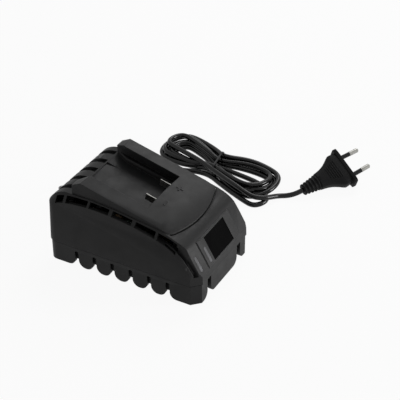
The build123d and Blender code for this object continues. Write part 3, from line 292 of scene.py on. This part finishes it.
materials = {
    "housing_black": mouldedPlastic("casePlastic", casePlastic),
    "tray_black": mouldedPlastic("trayPlastic", trayPlastic),
    "badge_gloss": glossyPlate("badgeGloss", badgePlate),
    "lens_clear": clearLens("lampLens", lampWindow),
    "contact_metal": metal("contactNickel", (0.16, 0.158, 0.15, 1), 0.42),
    "screw_steel": metal("screwZinc", (0.42, 0.43, 0.45, 1), 0.34),
    "board_green": plainFinish("solderMask", (0.012, 0.085, 0.035, 1), 0.32, Coat_Weight=0.2),
    "ferrite": plainFinish("ferrite", (0.035, 0.035, 0.038, 1), 0.6, 420.0, 0.0002),
    "tape_yellow": plainFinish("windingTape", (0.20, 0.12, 0.012, 1), 0.4),
    "sleeve_blue": plainFinish("canSleeve", (0.012, 0.02, 0.05, 1), 0.28),
    "capacitor_box": plainFinish("boxCapacitor", (0.22, 0.11, 0.010, 1), 0.45),
    "coil_copper": metal("coilCopper", (0.62, 0.22, 0.09, 1), 0.3, 900.0),
    "fuse_glass": plainFinish("fuseGlass", (0.6, 0.64, 0.63, 1), 0.08,
                              Transmission_Weight=0.8, IOR=1.5),
    "sink_aluminium": metal("sinkAluminium", (0.55, 0.56, 0.58, 1), 0.36),
    "package_black": plainFinish("devicePackage", (0.011, 0.011, 0.012, 1), 0.5, 500.0),
    "lamp_white": plainFinish("lampBody", (0.75, 0.75, 0.72, 1), 0.3),
    "wire_red": plainFinish("redWire", (0.26, 0.013, 0.01, 1), 0.4),
    "wire_blue": plainFinish("blueWire", (0.015, 0.06, 0.32, 1), 0.4),
    "terminal_green": plainFinish("terminalGreen", (0.025, 0.2, 0.075, 1), 0.45),
    "cord_black": mouldedPlastic("cordSheath", cordPlastic),
    "tie_black": plainFinish("tieStrip", (0.006, 0.006, 0.0065, 1), 0.42, 700.0,
                             Specular_IOR_Level=0.2),
    "plug_black": mouldedPlastic("plugPlastic", plugPlastic),
    "pin_nickel": metal("pinNickel", (0.40, 0.395, 0.37, 1), 0.24),
    "sleeve_black": plainFinish("pinSleeve", (0.004, 0.004, 0.0045, 1), 0.4, 600.0,
                                Specular_IOR_Level=0.2),
}
for part in frame["record"]["subparts"]:
    for place in bpy.data.objects[part["node"]].material_slots:
        place.material = materials[part["material_slot"]]
print("materials ready:", len(materials))

# Floor: plain and pale, mostly white to the camera and in gloss, with a share left for shadows
floorSetup = {"size": 6.0, "colour": (0.86, 0.86, 0.86, 1), "rough": 0.6, "shine": 0.1,
              "shown": 0.93, "mirrored": 0.8}


def addFloor(setup):
    bpy.ops.mesh.primitive_plane_add(size=setup["size"])
    floor = bpy.context.object
    floor.name = "floor"
    m = Maker("paleFloor")
    m.finish(setup["colour"], setup["rough"], Specular_IOR_Level=setup["shine"])
    glow = m.add("ShaderNodeEmission", Color=(1, 1, 1, 1), Strength=1.0)
    path = m.add("ShaderNodeLightPath")
    mix = m.add("ShaderNodeMixShader")
    seen = m.add("ShaderNodeMath", operation="MULTIPLY")
    seen.inputs[1].default_value = setup["shown"]
    m.link(path.outputs["Is Camera Ray"], seen.inputs[0])
    both = m.add("ShaderNodeMath", operation="MULTIPLY_ADD")
    both.inputs[1].default_value = setup["mirrored"]
    m.link(path.outputs["Is Glossy Ray"], both.inputs[0])
    m.link(seen.outputs[0], both.inputs[2])
    m.link(both.outputs[0], mix.inputs[0])
    m.link(m.shader.outputs[0], mix.inputs[1])
    m.link(glow.outputs[0], mix.inputs[2])
    m.link(mix.outputs[0], m.tree.nodes["Material Output"].inputs["Surface"])
    floor.data.materials.append(m.material)


addFloor(floorSetup)
print("floor laid")

# Node trees: a row of rings round an axis and a row of bars across it, both laid along -Z
rowSetup = {"ringSides": 48, "tubeSides": 10}
rowInputs = {"Count": "Int", "Start": "Float", "Length": "Float", "Start Size": "Vector",
             "End Size": "Vector", "Thickness": "Float", "Material": "Material"}


def rowTree(name, ring):
    tree = bpy.data.node_groups.new(name, "GeometryNodeTree")
    for title, kind in rowInputs.items():
        tree.interface.new_socket(name=title, in_out="INPUT", socket_type="NodeSocket" + kind)
    tree.interface.new_socket(name="Geometry", in_out="OUTPUT", socket_type="NodeSocketGeometry")
    add, link = tree.nodes.new, tree.links.new
    given, result = add("NodeGroupInput").outputs, add("NodeGroupOutput").inputs
    # a line of points, from the start to the start less the length
    line = add("GeometryNodeMeshLine")
    line.mode = "END_POINTS"
    link(given["Count"], line.inputs["Count"])
    first, last = add("ShaderNodeCombineXYZ"), add("ShaderNodeCombineXYZ")
    ends = add("ShaderNodeMath")
    link(given["Start"], first.inputs["Z"])
    link(given["Start"], ends.inputs[0])
    link(given["Length"], ends.inputs[1])
    ends.operation = "SUBTRACT"
    link(ends.outputs[0], last.inputs["Z"])
    link(first.outputs[0], line.inputs["Start Location"])
    link(last.outputs[0], line.inputs["Offset"])
    if ring:
        shape = add("GeometryNodeCurvePrimitiveCircle")
        shape.inputs["Resolution"].default_value = rowSetup["ringSides"]
        shape.inputs["Radius"].default_value = 1.0
    else:
        shape = add("GeometryNodeCurvePrimitiveLine")
        shape.inputs["Start"].default_value = (-1, 1, 0)
        shape.inputs["End"].default_value = (1, 1, 0)
    # each copy's size runs evenly from the start size to the end size
    index, less, share = add("GeometryNodeInputIndex"), add("ShaderNodeMath"), add("ShaderNodeMath")
    less.operation, share.operation = "SUBTRACT", "DIVIDE"
    less.inputs[1].default_value = 1.0
    link(given["Count"], less.inputs[0])
    link(index.outputs[0], share.inputs[0])
    link(less.outputs[0], share.inputs[1])
    size = add("ShaderNodeMix")
    size.data_type = "VECTOR"
    link(share.outputs[0], size.inputs[0])
    link(given["Start Size"], size.inputs[4])
    link(given["End Size"], size.inputs[5])
    place = add("GeometryNodeInstanceOnPoints")
    link(line.outputs["Mesh"], place.inputs["Points"])
    link(shape.outputs["Curve"], place.inputs["Instance"])
    link(size.outputs[1], place.inputs["Scale"])
    real = add("GeometryNodeRealizeInstances")
    link(place.outputs["Instances"], real.inputs["Geometry"])
    # one round section for every copy, whatever its size
    section, tube = add("GeometryNodeCurvePrimitiveCircle"), add("GeometryNodeCurveToMesh")
    section.inputs["Resolution"].default_value = rowSetup["tubeSides"]
    link(given["Thickness"], section.inputs["Radius"])
    link(real.outputs["Geometry"], tube.inputs["Curve"])
    link(section.outputs["Curve"], tube.inputs["Profile Curve"])
    tube.inputs["Fill Caps"].default_value = not ring
    smooth, paint = add("GeometryNodeSetShadeSmooth"), add("GeometryNodeSetMaterial")
    link(tube.outputs["Mesh"], smooth.inputs["Geometry"])
    link(smooth.outputs["Geometry"], paint.inputs["Geometry"])
    link(given["Material"], paint.inputs["Material"])
    link(paint.outputs["Geometry"], result["Geometry"])
    return tree


def runTree(tree, values):
    # the tree's result as a plain mesh, with the inputs set before it is first worked out
    holder = bpy.data.objects.new("holder", bpy.data.meshes.new("holder"))
    scene.collection.objects.link(holder)
    modifier = holder.modifiers.new("rows", "NODES")
    modifier.node_group = tree
    for item in tree.interface.items_tree:
        if item.in_out == "INPUT":
            modifier[item.identifier] = values[item.name]
    holder.update_tag()
    graph = bpy.context.evaluated_depsgraph_get()
    mesh = bpy.data.meshes.new_from_object(holder.evaluated_get(graph))
    holder.modifiers.clear()
    bpy.data.objects.remove(holder)
    return mesh


ringTree, barTree = rowTree("ringRow", True), rowTree("barRow", False)


def rowMesh(tree, row, slot, side=1):
    # side is -1 for the bars on the other face
    first, last = [[x * mm, y * side * mm, z * mm] for x, y, z in (row["first"], row["last"])]
    return runTree(tree, {"Count": row["count"], "Start": row["start"] * mm,
                          "Length": row["length"] * mm, "Start Size": first, "End Size": last,
                          "Thickness": row["thickness"] * mm, "Material": materials[slot]})


def makePiece(name, shape, slot, sharp=40, matrix=None):
    # a bmesh made into a smooth-shaded piece with one finish, sharp past an angle
    mesh = bpy.data.meshes.new(name)
    shape.to_mesh(mesh)
    shape.free()
    if matrix:
        mesh.transform(matrix)
    mesh.materials.clear()
    mesh.materials.append(materials[slot])
    mesh.polygons.foreach_set("use_smooth", [True] * len(mesh.polygons))
    mesh.polygons.foreach_set("material_index", [0] * len(mesh.polygons))
    mesh.set_sharp_from_angle(angle=radians(sharp))
    piece = bpy.data.objects.new(name, mesh)
    scene.collection.objects.link(piece)
    return piece


# Mains plug: a flat flange, a waisted grip with ribs across it, and a ribbed strain relief
plugSetup = {
    "at": (169.5, -95.8, 14.05), "yaw": -31.0, "pitch": 11.3, "roll": 27.5, "around": 64,
    # depth behind the flange's face, half across, half deep and squareness
    "sections": [
        (0.0, 17.0, 6.2, 9.0), (0.4, 17.6, 6.8, 9.0), (3.2, 17.6, 6.8, 9.0),
        (3.6, 17.3, 6.5, 9.0), (3.62, 14.8, 6.1, 5.0), (5.6, 15.1, 6.25, 4.6),
        (8.4, 15.5, 6.35, 4.4), (10.0, 15.4, 6.35, 4.2), (11.8, 14.4, 6.2, 4.0),
        (14.2, 12.7, 6.05, 3.8), (17.0, 11.0, 5.95, 3.6), (19.8, 9.6, 5.9, 3.4),
        (23.0, 8.5, 5.85, 3.2), (26.6, 7.7, 5.8, 3.0), (29.4, 7.3, 5.8, 2.8),
        (30.0, 6.2, 5.3, 2.6), (33.0, 5.9, 5.1, 2.4), (38.5, 5.1, 4.7, 2.2),
        (44.4, 4.3, 4.3, 2.0), (45.0, 3.9, 3.9, 2.0),
    ],
    "boot": {"count": 5, "start": -31.2, "length": 12.8, "thickness": 0.95,
             "first": (6.15, 5.3, 1.0), "last": (4.1, 4.1, 1.0)},
    "grip": {"count": 6, "start": -9.6, "length": 9.7, "thickness": 0.42,
             "first": (8.6, 6.25, 1.0), "last": (5.0, 5.85, 1.0)},
}


def plugMatrix(setup):
    yaw, pitch, roll = (radians(setup[key]) for key in ("yaw", "pitch", "roll"))
    way = Vector((cos(pitch) * cos(yaw), cos(pitch) * sin(yaw), sin(pitch)))
    level = Vector((-sin(yaw), cos(yaw), 0))
    across = level * cos(roll) + way.cross(level) * sin(roll)
    turn = Matrix((across, way.cross(across), way)).transposed().to_4x4()
    return Matrix.Translation(Vector(setup["at"]) * mm) @ turn


def rounded(size, value, square):
    # one coordinate of an outline between an ellipse and a rectangle
    return size * (1 if value >= 0 else -1) * abs(value) ** (2 / square)


def plugSkin(setup):
    # rounded outlines along the axis, joined into one closed skin
    shape = bmesh.new()
    loops = []
    for depth, across, deep, square in setup["sections"]:
        loop = []
        for n in range(setup["around"]):
            angle = 2 * pi * n / setup["around"]
            x, y = rounded(across, cos(angle), square), rounded(deep, sin(angle), square)
            loop.append(shape.verts.new((x * mm, y * mm, -depth * mm)))
        loops.append(loop)
    for a, b in zip(loops, loops[1:]):
        for n in range(len(a)):
            after = (n + 1) % len(a)
            shape.faces.new((a[n], b[n], b[after], a[after]))
    shape.faces.new(loops[0])
    shape.faces.new(loops[-1][::-1])
    bmesh.ops.recalc_face_normals(shape, faces=shape.faces)
    return shape


def makePlug(setup):
    shape = plugSkin(setup)
    shape.from_mesh(rowMesh(ringTree, setup["boot"], "plug_black"))
    for side in (1, -1):
        shape.from_mesh(rowMesh(barTree, setup["grip"], "plug_black", side))
    plug = makePiece("mains_plug", shape, "plug_black", matrix=plugMatrix(setup))
    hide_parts("plug_body")
    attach(plug, "root")
    return plug


mainsPlug = makePlug(plugSetup)
print("plug made")

# Pieces that are copies of CAD meshes, merged first
copySetup = {"weld": 0.00001, "flat": 1.0, "sharp": 30}


def copyNode(node):
    shape = bmesh.new()
    shape.from_mesh(bpy.data.objects[node].data)
    bmesh.ops.remove_doubles(shape, verts=shape.verts, dist=copySetup["weld"])
    return shape


# The two shells with their moulded edges eased
shellSetup = {
    "top_housing": {"name": "upper_shell", "slot": "housing_black", "ease": 0.35},
    "bottom_housing": {"name": "lower_tray", "slot": "tray_black", "ease": 0.3,
                       "seamAt": 18.0, "seamGap": 0.9},
}
easeSetup = {"segments": 2, "angle": 38}


def easedShell(node, setup):
    shape = copyNode(node)
    flat = radians(copySetup["flat"])
    bmesh.ops.dissolve_limit(shape, angle_limit=flat, verts=shape.verts, edges=shape.edges)
    # the parting line: the tray's rim stands a little below the upper shell
    for vert in shape.verts:
        if "seamAt" in setup and abs(vert.co.z - setup["seamAt"] * mm) < copySetup["weld"]:
            vert.co.z -= setup["seamGap"] * mm
    piece = makePiece(setup["name"], shape, setup["slot"], copySetup["sharp"])
    ease = piece.modifiers.new("ease", "BEVEL")
    ease.width = setup["ease"] * mm
    ease.segments = easeSetup["segments"]
    ease.limit_method = "ANGLE"
    ease.angle_limit = radians(easeSetup["angle"])
    ease.harden_normals = True
    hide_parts(node)
    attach(piece, "root")


for node, one in shellSetup.items():
    easedShell(node, one)
print("shells eased")

# The tie: half as wide as the node, and turned across the strands
tieSetup = {"from": (129.9, 10.0), "to": (130.4, 7.6), "turn": 8.7, "scale": (1.05, 0.5)}


def makeTie(setup):
    shape = copyNode("hank_tie")
    out, back = (Matrix.Translation(Vector((*setup[key], 0)) * mm) for key in ("from", "to"))
    turned = Matrix.Rotation(radians(setup["turn"]), 4, "Z")
    scaled = Matrix.Diagonal((*setup["scale"], 1.0, 1.0))
    shape.transform(back @ turned @ scaled @ out.inverted())
    tie = makePiece("tie_strip", shape, "tie_black", copySetup["sharp"])
    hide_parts("hank_tie")
    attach(tie, "root")
    return tie


hankTie = makeTie(tieSetup)
print("tie made")

# The free cord: one spline through the lead, the turns of the hank and the tail
cordSetup = {"diameter": 4.4, "length": 1.80, "sides": 5, "steps": 10}
leadPoints = [(20.0, 87.5, 18.0), (20.0, 91.0, 18.0), (21.8, 96.8, 16.6), (25.4, 101.3, 13.8),
              (30.4, 103.8, 10.2), (36.8, 104.2, 6.8), (44.6, 102.6, 4.2), (54.2, 99.4, 2.6),
              (65.5, 93.8, 2.2), (78.0, 86.0, 2.2), (90.0, 75.6, 2.2), (100.4, 63.0, 2.2),
              (108.0, 50.0, 2.2), (112.0, 39.0, 2.2)]
tailPoints = [(117.9, -56.6, 2.2), (121.9, -63.5, 2.2),
              (126.128, -69.739, 3.939), (131.675, -73.073, 5.232)]
hankSetup = {
    "centre": (131.0, 5.0), "lean": 16.9, "tieAt": 4.5, "joinAt": 0.42,
    # six turns: the places across the waist, each with its height, and then each end as
    # its reach, near side, far side and the places of the two joins with the waist
    "turns": [
        {"near": (-13.4, 3.3), "right": (60.6, (-21.0, 2.2), (-1.4, 2.2), -18.2, -5.4),
         "far": (-4.6, 3.3), "left": (50.0, (-13.5, 2.2), (6.2, 2.2), -12.5, 2.5)},
        {"near": (-9.0, 3.3), "right": (51.0, (-11.8, 2.2), (24.0, 2.2), -10.8, 20.5),
         "far": (8.4, 5.4), "left": (58.0, (-18.0, 2.2), (15.0, 2.2), -15.0, 12.5)},
        {"near": (-11.2, 7.1), "right": (45.5, (-13.8, 6.1), (7.6, 2.4), -11.8, 4.0),
         "far": (-0.2, 3.3), "left": (51.5, (-15.0, 6.4), (7.4, 6.4), -13.8, 4.5)},
        {"near": (-6.8, 7.1), "right": (54.0, (-16.2, 2.2), (26.4, 6.4), -13.0, 22.5),
         "far": (7.6, 9.9), "left": (61.5, (-22.6, 3.0), (16.4, 6.6), -18.0, 13.0)},
        {"near": (-2.4, 7.1), "right": (49.0, (-9.5, 6.1), (19.4, 2.3), -7.8, 14.5),
         "far": (4.0, 3.3), "left": (58.5, (-19.4, 6.8), (11.6, 8.8), -15.2, 8.8)},
        {"near": (-9.0, 10.4), "right": (46.5, (-11.6, 9.9), (21.7, 6.4), -10.4, 17.0),
         "far": (2.8, 7.1), "left": (58.0, (-12.0, 10.6), (8.8, 10.2), -11.8, 6.0)},
    ],
    # the last strand crosses on top, from the tie round the right end to the tail
    "lastPass": [(4.5, -13.0, 10.4), (-16.0, -15.8, 10.4), (-34.0, -17.0, 9.8), (-46.0, -17.6, 8.8),
                 (-55.0, -16.6, 7.6), (-60.6, -10.6, 6.6), (-62.0, -3.0, 4.6)],
}
# a turn's end, in shares of its half width: back from the tip, and out from its middle line
endShape = {"sides": 0.95, "shoulders": (0.3, 0.87), "tip": 0.34}


def hankPlace(along, across, height):
    # from the hank's own axes, along it and across it, to the ground
    lean = radians(hankSetup["lean"])
    x, y = hankSetup["centre"]
    return (x + along * sin(lean) + across * cos(lean),
            y + along * cos(lean) - across * sin(lean), height)


def endPoints(end, near, far, way):
    # from the waist along the near side, round the end and back along the far side
    reach, (nearAt, nearZ), (farAt, farZ), joinNear, joinFar = end
    middle, half = (nearAt + farAt) / 2, (farAt - nearAt) / 2
    start = reach - endShape["sides"] * half
    join = start * hankSetup["joinAt"]
    back, out = (share * half for share in endShape["shoulders"])
    tip = endShape["tip"] * half
    points = [(join, joinNear, (near[1] + nearZ) / 2), (start, nearAt, nearZ),
              (reach - back, middle - out, nearZ), (reach, middle - tip, (2 * nearZ + farZ) / 3),
              (reach, middle + tip, (nearZ + 2 * farZ) / 3), (reach - back, middle + out, farZ),
              (start, farAt, farZ), (join, joinFar, (far[1] + farZ) / 2)]
    return [(way * along, across, height) for along, across, height in points]


def turnPoints(turn):
    # from the waist on the near side round the right end, back, and round the left end
    tie = hankSetup["tieAt"]
    steps = [(tie, *turn["near"])] + endPoints(turn["right"], turn["near"], turn["far"], -1)
    steps += [(tie, *turn["far"])] + endPoints(turn["left"], turn["near"], turn["far"], 1)[::-1]
    return [hankPlace(*step) for step in steps]


def cordPath():
    points = list(leadPoints)
    for turn in hankSetup["turns"]:
        points += turnPoints(turn)
    return points + [hankPlace(*step) for step in hankSetup["lastPass"]] + tailPoints


def makeCord():
    curve = bpy.data.curves.new("mains_cord", "CURVE")
    curve.dimensions = "3D"
    curve.bevel_depth = cordSetup["diameter"] / 2 * mm
    curve.bevel_resolution = cordSetup["sides"]
    curve.use_fill_caps = True
    curve.resolution_u = cordSetup["steps"]
    points = cordPath()
    spline = curve.splines.new("NURBS")
    spline.points.add(len(points) - 1)
    for point, place in zip(spline.points, points):
        point.co = (*(v * mm for v in place), 1.0)
    spline.order_u = 3
    spline.use_endpoint_u = True
    cord = bpy.data.objects.new("mains_cord", curve)
    scene.collection.objects.link(cord)
    curve.materials.append(materials["cord_black"])
    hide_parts("mains_cord_lead", "cord_hank", "mains_cord_tail")
    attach(cord, "root")


makeCord()
print("cord made")
